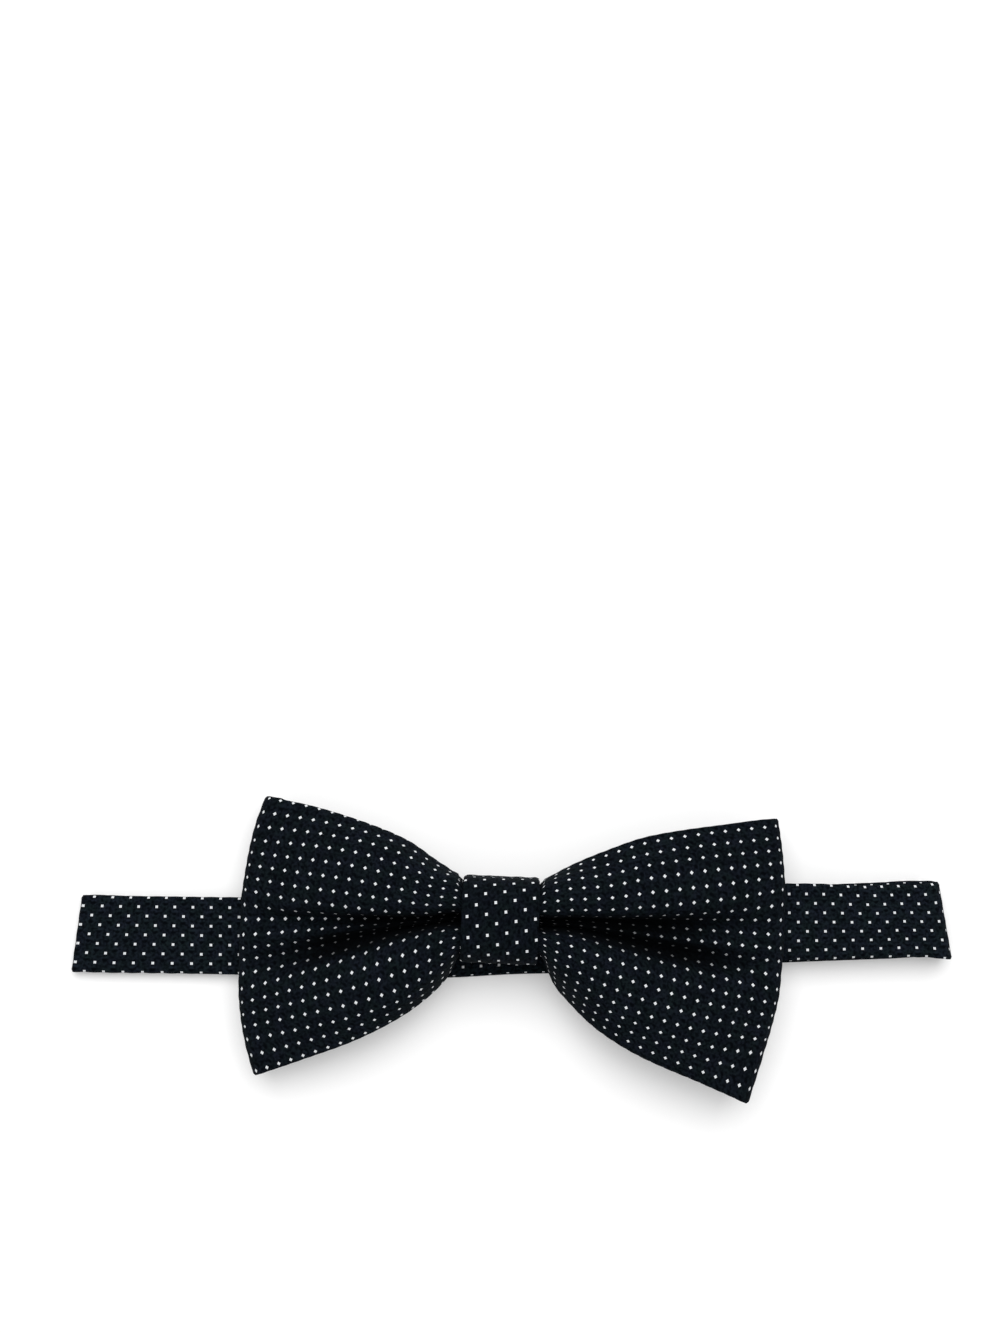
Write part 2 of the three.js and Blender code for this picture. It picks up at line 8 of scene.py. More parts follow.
import bpy
import mathutils
import numpy as np
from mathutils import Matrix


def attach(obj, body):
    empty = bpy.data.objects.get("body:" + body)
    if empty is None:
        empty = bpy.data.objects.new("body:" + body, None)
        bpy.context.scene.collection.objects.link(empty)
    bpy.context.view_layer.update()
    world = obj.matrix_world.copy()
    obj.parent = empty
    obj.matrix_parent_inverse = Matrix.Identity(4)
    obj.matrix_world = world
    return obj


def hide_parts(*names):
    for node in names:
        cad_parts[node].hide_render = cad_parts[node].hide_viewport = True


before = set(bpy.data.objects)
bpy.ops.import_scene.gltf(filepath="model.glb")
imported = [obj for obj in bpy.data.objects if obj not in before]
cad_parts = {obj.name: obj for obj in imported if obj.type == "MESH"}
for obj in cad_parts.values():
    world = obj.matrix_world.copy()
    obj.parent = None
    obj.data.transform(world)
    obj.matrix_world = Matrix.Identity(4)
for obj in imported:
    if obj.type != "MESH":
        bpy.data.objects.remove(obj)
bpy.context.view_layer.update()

MM = 0.001

# Driving dimensions, as in the solids
CLOTH_THICK = 1.2
BAND_THICK = 1.3
WRAP_THICK = 1.3
PIECE_GAP = 0.3
BAND_WIDTH = 17.3
KNOT_WIDTH = 16.6
# The knot lies turned, and the turn fades out along the wings between these distances from the middle
KNOT_TURN = math.radians(2.3)
KNOT_HALF = 9.0
KNOT_FADE = 16.0
# The long edges of a cloth's two faces stop short of its full width, and its rounded rims fill the rest
EDGE_INSET = 0.5
RIM_CELLS = 3

# The weave: white dots in a square grid that lies at 45 degrees to the threads, on pillows of this height
DOT_PITCH = 2.88
RELIEF = 0.09


# Smooth curves and small helpers


def mix(a, b, share):
    return a + (b - a) * share


def ease(start, end, x):
    """Rises smoothly from 0 at start to 1 at end."""
    share = np.clip((x - start) / (end - start), 0, 1)
    return share * share * (3 - 2 * share)


def through(places, values):
    """A smooth function through the values that never overshoots them."""
    x, y = np.array(places, float), np.array(values, float)
    step = np.diff(y) / np.diff(x)
    slope = np.concatenate([step[:1], np.zeros(len(x) - 2), step[-1:]])
    same = step[:-1] * step[1:] > 0
    total = np.where(same, step[:-1] + step[1:], 1)
    slope[1:-1] = np.where(same, 2 * step[:-1] * step[1:] / total, 0)

    def at(v):
        v = np.clip(v, x[0], x[-1])
        k = np.clip(np.searchsorted(x, v) - 1, 0, len(x) - 2)
        width = x[k + 1] - x[k]
        t = (v - x[k]) / width
        curve = mix(y[k], y[k + 1], t * t * (3 - 2 * t))
        return curve + t * (1 - t) * width * ((1 - t) * slope[k] - t * slope[k + 1])

    return at


def unit(v):
    return v / np.maximum(np.linalg.norm(v, axis=-1, keepdims=True), 1e-9)


# Meshes of cloth


def cloth_solid(name, outer, inner, uv, pleat_shade=None):
    """A closed piece of cloth between two grids of points, with rounded rims along its two long edges.

    pleat_shade says how far each point lies in a pleat, as the painted shade that the material darkens its
    colour with.
    """
    if pleat_shade is None:
        pleat_shade = np.zeros(outer.shape[:2])
    rows, columns = outer.shape[:2]

    def rim(edge, beside):
        """Points that round the edge from the outer face to the inner one."""
        middle = (outer[:, edge] + inner[:, edge]) / 2
        half = (outer[:, edge] - inner[:, edge]) / 2
        out = unit(outer[:, edge] - outer[:, beside]) * np.linalg.norm(half, axis=1)[:, None]
        found = []
        for k in range(1, RIM_CELLS):
            angle = math.pi * k / RIM_CELLS
            found.append(middle + half * math.cos(angle) + out * math.sin(angle))
        return np.stack(found, 1)

    def rim_uv(edge):
        """The weave runs on over the rim, away from the outer face."""
        shares = np.arange(1, RIM_CELLS)[None, :, None] / RIM_CELLS
        outward = np.sign(uv[0, -1, 1] - uv[0, 0, 1]) * (1 if edge == -1 else -1)
        reach = math.pi / 2 * CLOTH_THICK * shares * outward
        return uv[:, edge][:, None] + np.concatenate([0 * reach, reach], 2)

    # One ring per row: the outer face, the last rim, the inner face backwards, the first rim
    ring = np.concatenate([outer, rim(-1, -2), inner[:, ::-1], rim(0, 1)[:, ::-1]], 1)
    ring_uv = np.concatenate([uv, rim_uv(-1), uv[:, ::-1], rim_uv(0)[:, ::-1]], 1)
    rim_shade = np.zeros((rows, RIM_CELLS - 1))
    ring_shade = np.concatenate([pleat_shade, rim_shade, pleat_shade[:, ::-1], rim_shade], 1)
    count = ring.shape[1]
    index = np.arange(rows * count).reshape(rows, count)
    a, b = index[:-1], index[1:]
    quads = np.stack([a, np.roll(a, -1, 1), np.roll(b, -1, 1), b], 2).reshape(-1, 4)
    caps = []
    for row, flip in ((0, True), (rows - 1, False)):
        for j in range(columns - 1):
            on_outer = [j, j + 1]
            on_inner = [columns + RIM_CELLS - 1 + columns - 1 - k for k in (j + 1, j)]
            quad = [index[row, n] for n in on_outer + on_inner]
            caps.append(quad[::-1] if flip else quad)
        for start in (columns - 1, 2 * columns + RIM_CELLS - 2):
            fan = [index[row, (start + k) % count] for k in range(RIM_CELLS + 1)]
            caps.append(fan[::-1] if flip else fan)
    faces = quads.tolist() + caps
    return mesh_piece(name, ring.reshape(-1, 3), faces, ring_uv.reshape(-1, 2), ring_shade.ravel())


def raised(face, uv, straight):
    """The face with its woven relief: a pillow at each dot and a hollow between four of them."""
    turn = math.pi / 4 if straight else 0.0
    p = uv[..., 0] * math.cos(turn) + uv[..., 1] * math.sin(turn)
    q = uv[..., 1] * math.cos(turn) - uv[..., 0] * math.sin(turn)
    height = RELIEF * (np.cos(2 * math.pi * p / DOT_PITCH) + np.cos(2 * math.pi * q / DOT_PITCH)) / 2
    normal = unit(np.cross(np.gradient(face, axis=0), np.gradient(face, axis=1)))
    return face + normal * height[..., None]


def mesh_piece(name, points, faces, uv, pleat_shade):
    """A piece of the scene that carries the cloth's own distances and the painted shade for its depths in the
    pleats.
    """
    mesh = bpy.data.meshes.new(name)
    mesh.from_pydata((points * MM).tolist(), [], faces)
    mesh.update()
    layer = mesh.uv_layers.new(name="cloth")
    loops = np.zeros(len(mesh.loops), np.int32)
    mesh.loops.foreach_get("vertex_index", loops)
    layer.data.foreach_set("uv", uv[loops].astype(np.float32).ravel())
    shade = mesh.attributes.new("pleat_shade", "FLOAT", "POINT")
    shade.data.foreach_set("value", pleat_shade.astype(np.float32))
    mesh.shade_smooth()
    piece = bpy.data.objects.new(name, mesh)
    bpy.context.scene.collection.objects.link(piece)
    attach(piece, "root")
    return piece


# The bow

# For each crease between the two edges, how much of the way to its neighbours is rounded
CREASE_ROUND = [0.48, 0.4, 0.2, 0.25, 0.2, 0.4, 0.48]

# reach: each section's distance from the middle. outer: how far out the folded end lies. cloth: the distance
# across the flat cloth near the knot and at the folded end. y and z: the fold's place at each section.
WINGS = {
    "left": {
        "side": -1,
        "reach": [6, 8.3, 9.0, 10.5, 12.5, 21, 32, 44, 52],
        "folds": [
            {
                "name": "top edge",
                "outer": 52.4,
                "cloth": (0, 0),
                "y": [11.2, 11.8, 14.0, 14.9, 16.4, 22.4, 26.7, 29.9, 31.3],
                "z": [8.8, 8.8, 8.8, 8.8, 8.6, 7.8, 9.6, 10.8, 10.2],
            },
            {
                "name": "upper crown",
                "outer": 55.5,
                "cloth": (8.2, 8.2),
                "y": [11.0, 11.6, 13.3, 13.8, 14.3, 18.0, 21.5, 23.0, 23.3],
                "z": [16.2, 16.4, 16.3, 16.8, 17.2, 15.8, 14.6, 12.8, 10.9],
            },
            {
                "name": "upper lip",
                "outer": 57.8,
                "cloth": (18.6, 21.0),
                "y": [6.4, 6.4, 6.4, 6.4, 6.3, 6.1, 6.6, 7.5, 9.0],
                "z": [16.8, 17.0, 17.2, 17.4, 17.6, 17.4, 16.2, 13.8, 11.4],
            },
            {
                "name": "upper valley",
                "outer": 58.2,
                "cloth": (25.9, 25.9),
                "y": [5.2, 5.2, 5.2, 5.2, 5.1, 4.6, 4.6, 4.8, 4.7],
                "z": [8.1, 8.1, 8.1, 8.1, 8.1, 7.2, 6.8, 7.0, 8.8],
            },
            {
                "name": "ridge",
                "outer": 58.4,
                "cloth": (30.0, 30.2),
                "y": [4.3, 4.3, 4.3, 4.3, 4.2, 3.4, 2.3, 0.7, -0.1],
                "z": [10.6, 10.6, 10.6, 10.6, 10.6, 11.2, 11.0, 10.6, 10.4],
            },
            {
                "name": "lower valley",
                "outer": 58.6,
                "cloth": (35.4, 36.0),
                "y": [3.4, 3.4, 3.4, 3.4, 3.3, 2.2, -0.6, -4.0, -5.6],
                "z": [8.0, 8.0, 8.0, 8.0, 8.0, 7.1, 6.7, 6.9, 8.7],
            },
            {
                "name": "lower lip",
                "outer": 58.5,
                "cloth": (41.6, 42.0),
                "y": [2.2, 2.2, 2.2, 2.2, 2.1, 0.2, -4.2, -8.6, -11.5],
                "z": [16.6, 16.8, 16.9, 17.1, 17.2, 16.6, 15.4, 13.2, 11.2],
            },
            {
                "name": "lower crown",
                "outer": 57.5,
                "cloth": (49.5, 51.5),
                "y": [-2.2, -2.6, -3.2, -4.6, -6.2, -12.2, -16.0, -19.0, -21.0],
                "z": [16.0, 16.1, 16.2, 16.4, 16.6, 16.2, 15.2, 13.0, 11.1],
            },
            {
                "name": "bottom edge",
                "outer": 55.1,
                "cloth": (58.8, 58.8),
                "y": [-2.6, -3.0, -4.0, -7.2, -10.2, -16.6, -22.1, -26.6, -29.6],
                "z": [8.0, 7.9, 7.8, 7.6, 7.4, 11.8, 12.8, 11.8, 10.2],
            },
        ],
        "back_top": [11.0, 11.6, 12.9, 13.8, 15.2, 20.6, 25.2, 28.7, 30.7],
        "back_bottom": [-2.4, -2.8, -3.6, -6.2, -8.8, -15.4, -20.9, -25.5, -28.8],
        "back_z": [4.9, 4.9, 4.9, 4.8, 4.6, 4.2, 4.0, 3.8, 3.7],
    },
    "right": {
        "side": 1,
        "reach": [6, 8.9, 9.6, 10.8, 13, 22, 33, 48.5, 57],
        "folds": [
            {
                "name": "top edge",
                "outer": 61.6,
                "cloth": (0, 0),
                "y": [11.2, 11.8, 13.6, 14.2, 15.3, 19.3, 23.1, 25.5, 26.4],
                "z": [9.0, 9.0, 9.0, 9.2, 9.4, 11.2, 13.2, 14.2, 13.4],
            },
            {
                "name": "upper crown",
                "outer": 62.7,
                "cloth": (8.6, 8.8),
                "y": [11.0, 11.6, 12.8, 13.0, 13.3, 13.7, 16.0, 18.0, 18.5],
                "z": [16.0, 16.3, 16.2, 16.6, 17.0, 17.0, 16.6, 15.4, 13.9],
            },
            {
                "name": "upper lip",
                "outer": 63.2,
                "cloth": (16.6, 17.0),
                "y": [6.2, 6.2, 6.2, 6.1, 6.0, 5.8, 6.2, 7.8, 9.5],
                "z": [16.8, 17.0, 17.2, 17.4, 17.7, 17.9, 17.3, 16.3, 14.4],
            },
            {
                "name": "upper valley",
                "outer": 63.1,
                "cloth": (23.2, 23.2),
                "y": [5.0, 5.0, 5.0, 4.9, 4.7, 4.4, 4.0, 3.2, 2.7],
                "z": [8.1, 8.2, 8.3, 8.4, 8.6, 8.3, 8.4, 9.8, 12.3],
            },
            {
                "name": "ridge",
                "outer": 62.9,
                "cloth": (27.6, 27.6),
                "y": [4.1, 4.1, 4.0, 3.9, 3.6, 2.6, 1.0, -0.8, -1.6],
                "z": [10.6, 10.6, 10.6, 10.7, 10.8, 12.0, 12.8, 13.5, 13.6],
            },
            {
                "name": "lower valley",
                "outer": 62.6,
                "cloth": (31.8, 32.0),
                "y": [3.2, 3.1, 3.0, 2.9, 2.7, 1.0, -1.5, -4.8, -6.0],
                "z": [8.0, 8.1, 8.2, 8.3, 8.5, 8.2, 8.3, 9.7, 12.3],
            },
            {
                "name": "lower lip",
                "outer": 61.8,
                "cloth": (37.6, 38.3),
                "y": [2.2, 2.1, 2.0, 1.8, 1.5, -1.0, -4.8, -9.6, -12.0],
                "z": [16.6, 16.8, 16.9, 17.1, 17.4, 17.6, 16.5, 15.3, 14.2],
            },
            {
                "name": "lower crown",
                "outer": 59.0,
                "cloth": (47.0, 49.5),
                "y": [-2.2, -2.6, -3.1, -4.4, -6.4, -12.5, -17.5, -22.0, -23.0],
                "z": [16.0, 16.2, 16.3, 16.6, 17.0, 17.4, 16.8, 15.4, 14.0],
            },
            {
                "name": "bottom edge",
                "outer": 54.9,
                "cloth": (58.8, 58.8),
                "y": [-2.6, -3.1, -4.2, -7.4, -11.6, -20.0, -25.8, -31.6, -34.8],
                "z": [8.0, 7.9, 7.9, 7.9, 8.2, 12.8, 15.2, 14.8, 13.4],
            },
        ],
        "back_top": [11.0, 11.6, 12.7, 13.2, 14.2, 18.1, 21.9, 24.7, 25.8],
        "back_bottom": [-2.4, -2.8, -3.7, -6.4, -10.2, -18.6, -24.6, -30.7, -34.0],
        "back_z": [4.9, 4.9, 5.1, 5.3, 5.7, 6.2, 6.4, 6.5, 6.6],
    },
}
BOW_CLOTH_WIDTH = 58.8
UPPER_LIP, UPPER_VALLEY, RIDGE, LOWER_VALLEY, LOWER_LIP = 2, 3, 4, 5, 6
ACROSS_CELLS = 104
FRONT_STEP = 0.62
BACK_STEP = 1.4
TURN_CELLS = 14
SAMPLES_PER_CREASE = 12
SAMPLES_PER_FLAT = 6
# The power by which the sections bend out to the folded end's own line
OUTER_BEND = 3
# How far the cloth's inner face is set back at the lips, and the pleat's widths between which its floor opens
LIP_SETBACK = 1.1 * CLOTH_THICK
CLOSED_PLEAT = 2 * CLOTH_THICK
OPEN_PLEAT = 5 * CLOTH_THICK
# The back panel ends near the middle, joins the front's folded end from this share of the way out, and has
# shallow pleats that flatten out along it
BACK_ENDS = 0.5
BACK_JOINS = 0.6
BACK_PLEATS = 3
PLEAT_RISE = 0.5
PLEATS_FLATTEN = 40.0
# How far the first column of dots lies inside the folded end, and the first row below the top edge
FIRST_DOTS = {"left": (0.6, 0.3), "right": (0.5, 1.6)}
# The wings are cut at 45 degrees to the threads, so their cloth gives a little along them
BIAS_STRETCH = 1.03
# The depths below the lips between which the pleat's painted shade grows
SHADE_STARTS = 0.8
SHADE_ENDS = 6.0
RIDGE_BLEND = 1.5
# Where the painted shade fades out in each half of the left and the right wing's pleat, as distances from the
# middle
SHADE_FADES = {
    -1: {"upper": (22, 42), "lower": (34, 54)},
    1: {"upper": (34, 54), "lower": (40, 60)},
}


def crease_weights():
    """Weights that turn a section's corners into its rounded points, and each corner's own point."""
    count = len(CREASE_ROUND) + 2
    rows, own = [np.eye(count)[0]], [0]
    last_leave = np.eye(count)[0]
    for k, share in enumerate(CREASE_ROUND, start=1):
        corner = np.eye(count)[k]
        enter = mix(corner, np.eye(count)[k - 1], share)
        leave = mix(corner, np.eye(count)[k + 1], share)
        for n in range(1, SAMPLES_PER_FLAT):
            rows.append(mix(last_leave, enter, n / SAMPLES_PER_FLAT))
        own.append(len(rows) + SAMPLES_PER_CREASE // 2)
        for n in range(SAMPLES_PER_CREASE + 1):
            t = n / SAMPLES_PER_CREASE
            rows.append(mix(mix(enter, corner, t), mix(corner, leave, t), t))
        last_leave = leave
    for n in range(1, SAMPLES_PER_FLAT + 1):
        rows.append(mix(last_leave, np.eye(count)[-1], n / SAMPLES_PER_FLAT))
    own.append(len(rows) - 1)
    return np.array(rows), own


WEIGHTS, OWN_SAMPLE = crease_weights()


def turned(x, y):
    """The pleats turn with the knot near the middle."""
    return y - x * math.tan(KNOT_TURN) * (1 - ease(KNOT_HALF, KNOT_FADE, np.abs(x)))


def front_corners(wing, reach):
    """The section's corners at each distance from the middle, as (section, corner, xyz)."""
    share = reach / wing["reach"][-1]
    found = []
    for fold in wing["folds"]:
        y, z = (through(wing["reach"], fold[name])(reach) for name in ("y", "z"))
        radius = (fold["z"][-1] - wing["back_z"][-1]) / 2
        x = wing["side"] * (reach + (fold["outer"] - radius - wing["reach"][-1]) * share**OUTER_BEND)
        found.append(np.stack([x, turned(x, y), z], -1))
    return np.stack(found, 1)


def inner_corners(corners):
    """The same corners on the cloth's other face. The two valleys are bridged below the ridge."""
    along = unit(np.gradient(corners[..., 1:], axis=1))
    inner = corners.copy()
    inner[..., 1] -= along[..., 1] * CLOTH_THICK
    inner[..., 2] += along[..., 0] * CLOTH_THICK
    for k, side in ((UPPER_LIP, 1), (LOWER_LIP, -1)):
        inner[:, k] = corners[:, k]
        inner[:, k, 1] += side * LIP_SETBACK
        inner[:, k, 2] -= LIP_SETBACK
    for k in (UPPER_VALLEY, LOWER_VALLEY):
        inner[:, k] = corners[:, k]
        inner[:, k, 2] -= CLOTH_THICK
    width = corners[:, UPPER_VALLEY, 1] - corners[:, LOWER_VALLEY, 1]
    opened = ease(CLOSED_PLEAT, OPEN_PLEAT, width)
    floor = np.minimum(inner[:, UPPER_VALLEY, 2], inner[:, LOWER_VALLEY, 2])
    inner[:, RIDGE] = corners[:, RIDGE]
    inner[:, RIDGE, 2] = mix(floor, corners[:, RIDGE, 2] - CLOTH_THICK, opened)
    return inner


def cloth_places():
    """Distances across the bow's cloth. The edges' own rounding reaches out over the rest."""
    return np.linspace(EDGE_INSET, BOW_CLOTH_WIDTH - EDGE_INSET, ACROSS_CELLS + 1)


def across_cloth(wing, reach, corners, guide):
    """Points at even distances across the cloth, as (section, step, xyz). guide sets the lengths."""
    dense, measure = (np.einsum("mk,nkc->nmc", WEIGHTS, c) for c in (corners, guide))
    steps = np.linalg.norm(np.diff(measure[..., 1:], axis=1), axis=2)
    arc = np.concatenate([np.zeros((len(steps), 1)), np.cumsum(steps, 1)], 1)
    near, far = np.array([fold["cloth"] for fold in wing["folds"]]).T
    even = cloth_places()
    found = np.zeros((len(dense), len(even), 3))
    for i in range(len(dense)):
        marks = mix(near, far, reach[i] / wing["reach"][-1])
        cloth = np.interp(arc[i], arc[i, OWN_SAMPLE], marks)
        for c in range(3):
            found[i, :, c] = np.interp(even, cloth, dense[i, :, c])
    return found


def wing_faces(wing):
    """One wing from the middle of the front to the end of the back.

    Gives its outer and inner faces, the row at its folded end, and the painted shade for its depths in the
    pleat.
    """
    last = wing["reach"][-1]
    reach = np.linspace(0, last, round(last / FRONT_STEP) + 1)
    corners = front_corners(wing, reach)
    outer = across_cloth(wing, reach, corners, corners)
    inner = across_cloth(wing, reach, inner_corners(corners), corners)

    shares = np.linspace(0, 1, ACROSS_CELLS + 1)
    back_reach = np.linspace(last, BACK_ENDS, round(last / BACK_STEP) + 1)
    top, bottom, base = (
        through(wing["reach"], wing[key])(back_reach)[:, None]
        for key in ("back_top", "back_bottom", "back_z")
    )
    joined = ease(BACK_JOINS * last, last, back_reach)[:, None]
    first, end = outer[-1, 0, 1], outer[-1, -1, 1]
    share = (first - outer[-1, :, 1]) / (first - end)
    pleat = PLEAT_RISE * (1 - ease(0, PLEATS_FLATTEN, back_reach))[:, None]
    x = mix(wing["side"] * back_reach[:, None], outer[-1, :, 0][None], joined)
    y = mix(mix(top, bottom, share[None]), outer[-1, :, 1][None], joined)
    z = base + pleat * 0.5 * (1 - np.cos(2 * math.pi * BACK_PLEATS * shares[None]))
    back_outer = np.stack([x, turned(x, y), z], -1)
    back_inner = back_outer + [0, 0, CLOTH_THICK]

    slope = (outer[-1, :, 1] - outer[-2, :, 1]) / np.abs(outer[-1, :, 0] - outer[-2, :, 0])

    def turn(front, back):
        """The half turn round the folded end."""
        found = []
        for n in range(1, TURN_CELLS):
            angle = math.pi * n / TURN_CELLS
            radius = (front[:, 2] - back[:, 2]) / 2
            px = front[:, 0] + wing["side"] * radius * math.sin(angle)
            py = mix(front[:, 1], back[:, 1], n / TURN_CELLS) + slope * radius * math.sin(angle)
            pz = (front[:, 2] + back[:, 2]) / 2 + radius * math.cos(angle)
            found.append(np.stack([px, py, pz], -1))
        return np.array(found)

    outer_all = np.concatenate([outer, turn(outer[-1], back_outer[0]), back_outer])
    inner_all = np.concatenate([inner, turn(inner[-1], back_inner[0]), back_inner])
    pleat_shade = painted_fold_shade(wing, reach, outer_all, corners)
    return outer_all, inner_all, len(outer) + TURN_CELLS // 2, pleat_shade


def painted_fold_shade(wing, reach, faces, corner_rows):
    """Painted shade for how deep each point lies in the pleat: 0 on the lips, up to 1 at the bottom, less
    where it fades.
    """
    pleat_shade = np.zeros(faces.shape[:2])
    fades = SHADE_FADES[wing["side"]]
    upper_fade, lower_fade = (ease(*fades[half], reach) for half in ("upper", "lower"))
    for row, corners in enumerate(corner_rows):
        low, high = corners[LOWER_LIP], corners[UPPER_LIP]
        y = faces[row, :, 1]
        share = (y - low[1]) / (high[1] - low[1])
        below_lips = mix(low[2], high[2], share) - faces[row, :, 2]
        above_ridge = ease(-RIDGE_BLEND, RIDGE_BLEND, y - corners[RIDGE, 1])
        fade = mix(lower_fade[row], upper_fade[row], above_ridge)
        between = (share > 0) & (share < 1)
        shade = ease(SHADE_STARTS, SHADE_ENDS, below_lips) * (1 - fade)
        pleat_shade[row] = np.where(between, shade, 0)
    return pleat_shade


def wing_cloth(faces, apex):
    """Distances along and across the cloth at each point, measured along it from the folded end."""
    steps = np.linalg.norm(np.diff(faces, axis=0), axis=2)
    arc = np.concatenate([np.zeros((1, steps.shape[1])), np.cumsum(steps, 0)])
    u = (arc[apex][None] - arc) / BIAS_STRETCH
    v = cloth_places()[None].repeat(len(faces), 0)
    return np.stack([u, v], -1)


RIGHT_WING_U = 100 * DOT_PITCH


def make_bow():
    grids = []
    for side in ("left", "right"):
        outer, inner, apex, pleat_shade = wing_faces(WINGS[side])
        column, row = FIRST_DOTS[side]
        uv = wing_cloth(outer, apex) - [column, row]
        # The right wing's distances run the other way from a far dot, so each wing keeps its own dots
        if side == "right":
            uv[..., 0] = RIGHT_WING_U - uv[..., 0]
        grids.append((outer, inner, uv, pleat_shade))
    outer, inner, uv, pleat_shade = (np.concatenate([left[:0:-1], right[1:]]) for left, right in zip(*grids))
    return cloth_solid("bow_cloth", raised(outer, uv, False), inner, uv, pleat_shade)


bow = make_bow()
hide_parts("bow")


# The wrap round the knot

# The hollow inside the wrap: its lowest and highest y, its lowest and highest z, and its corners' radii
WRAP = {"low": -3.7, "high": 12.4, "back": 3.0, "front": 17.7}
WRAP_RADII = {"high_front": 5.5, "low_front": 4.5, "low_back": 0.8, "high_back": 0.8}
# How far the front bulges between the wrap's two sides
WRAP_CROWN = 0.25
WRAP_STEP = 0.3
CORNER_CELLS = 16
# One dot's place round and across the wrap, how its rows and columns lie, and how far the cloth is stretched
WRAP_FIRST_DOT = (32.27, -0.72)
WRAP_ROW_TURN = math.radians(8.9)
WRAP_COLUMN_TURN = math.radians(4.7)
WRAP_STRETCH = (1.11, 1.03)


def wrap_section(out):
    """The hollow's outline, moved out by some distance, from the middle of its back, and the way along it."""
    # Each corner's y, z and radius, the directions of its centre, and its first angle in half turns
    corners = [
        (WRAP["high"], WRAP["back"], WRAP_RADII["high_back"], -1, 1, 1.5),
        (WRAP["high"], WRAP["front"], WRAP_RADII["high_front"], -1, -1, 0.0),
        (WRAP["low"], WRAP["front"], WRAP_RADII["low_front"], 1, -1, 0.5),
        (WRAP["low"], WRAP["back"], WRAP_RADII["low_back"], 1, 1, 1.0),
    ]
    points = [(0.5 * (WRAP["low"] + WRAP["high"]), WRAP["back"] - out)]
    for y, z, radius, in_y, in_z, start in corners:
        centre_y, centre_z = y + in_y * radius, z + in_z * radius
        reach = radius + out
        for n in range(CORNER_CELLS + 1):
            angle = (start + n / (2 * CORNER_CELLS)) * math.pi
            points.append((centre_y + reach * math.cos(angle), centre_z + reach * math.sin(angle)))
    points.append(points[0])
    points = np.array(points)
    arc = np.concatenate([[0], np.cumsum(np.linalg.norm(np.diff(points, axis=0), axis=1))])
    return points, arc


def make_wrap():
    outer_points, outer_arc = wrap_section(WRAP_THICK)
    inner_points, inner_arc = wrap_section(0)
    steps = round(outer_arc[-1] / WRAP_STEP)
    columns = round(KNOT_WIDTH / WRAP_STEP)
    shares = np.linspace(0, 1, steps + 1)
    middle = (WRAP["low"] + WRAP["high"]) / 2
    across = np.linspace(-0.5, 0.5, columns + 1) * (1 - 2 * EDGE_INSET / KNOT_WIDTH)
    faces = []
    for points, arc, crown in ((outer_points, outer_arc, WRAP_CROWN), (inner_points, inner_arc, 0)):
        y = np.interp(shares * arc[-1], arc, points[:, 0])[:, None]
        z = np.interp(shares * arc[-1], arc, points[:, 1])[:, None]
        beside = np.broadcast_to(across[None] * KNOT_WIDTH, (len(y), len(across)))
        lift = np.where(z > WRAP["front"], crown * (1 - 4 * across[None] ** 2), 0)
        x = beside * math.cos(KNOT_TURN) + (y - middle) * math.sin(KNOT_TURN)
        turned_y = middle - beside * math.sin(KNOT_TURN) + (y - middle) * math.cos(KNOT_TURN)
        faces.append(np.stack([x, turned_y, z + lift], -1))
    u = shares[:, None] * outer_arc[-1] - WRAP_FIRST_DOT[0]
    v = across[None] * KNOT_WIDTH - WRAP_FIRST_DOT[1]
    along_rows = u * math.cos(WRAP_ROW_TURN) + v * math.sin(WRAP_ROW_TURN)
    along_columns = v * math.cos(WRAP_COLUMN_TURN) - u * math.sin(WRAP_COLUMN_TURN)
    uv = np.stack([along_rows / WRAP_STRETCH[0], along_columns / WRAP_STRETCH[1]], -1)
    return cloth_solid("wrap_cloth", raised(faces[0], uv, True), faces[1], uv)


wrap = make_wrap()
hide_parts("knot_wrap")


# The neck band

# Rows from the left fold to the right one: x, y of the centreline, z of the lower face, the width, and how
# far the middle arches over the edges
FRONT_LAYER = [
    (-90, 0.4, 1.8, 17.3, 0),
    (-78, 0.3, 1.9, 17.3, 0),
    (-59, 0.1, 2.0, 17.3, 0),
    (-40, 0.6, 2.2, 17.3, 0),
    (-24, 1.8, 2.4, 16.8, 0),
    (-13, 3.6, 2.9, 14.8, 0),
    (-9, 4.4, 3.35, 14.0, 0),
    (0, 4.1, 3.35, 14.0, 0),
    (9, 3.8, 3.35, 14.0, 0),
    (14, 3.4, 4.1, 15.4, 0),
    (20, 3.2, 4.5, 16.6, 0),
    (33, 3.1, 4.6, 17.3, 0),
    (48, 3.2, 4.7, 17.3, 0),
    (60, 3.4, 4.9, 17.2, 0.1),
    (72, 3.6, 5.7, 16.9, 0.5),
    (82, 3.6, 6.1, 16.0, 1.0),
    (91, 3.9, 6.2, 16.0, 0.8),
]
# Rows of the back layer, which lies on the surface: x and y of the centreline
BACK_LAYER = [(-90, 0.4), (-59, -0.3), (-15, -1.0), (5, -0.1), (22, 0.2), (40, 1.2), (63, 2.4), (91, 3.5)]
BAND_LEFT, BAND_RIGHT = FRONT_LAYER[0][0], FRONT_LAYER[-1][0]
# Each fold's furthest x, its y and how far its edge slants, and the right one's arch
LEFT_FOLD = {"x": -96.4, "y": 0.55, "slant": 0.14}
RIGHT_FOLD = {"x": 100.6, "y": 3.75, "slant": -0.173, "arch": 0.5}
SLANT_STARTS = 60.0
# The two layers meet their folds this far past the rows
FOLD_GAP = 1
CLASP = {"left": 24.0, "right": 38.0, "bottom": 1.6, "thick": 0.8, "bar": 2.0}
# The ends are turned back by this length, round a centre just inside the clasp's bars
HEM_LENGTH = 6.0
HEM_INSET = 0.1
BAND_STEP = 0.6
BAND_CELLS = 40
FOLD_CELLS = 14
SMOOTH_STOPS = 6
FLOOR_CLEARANCE = 0.03
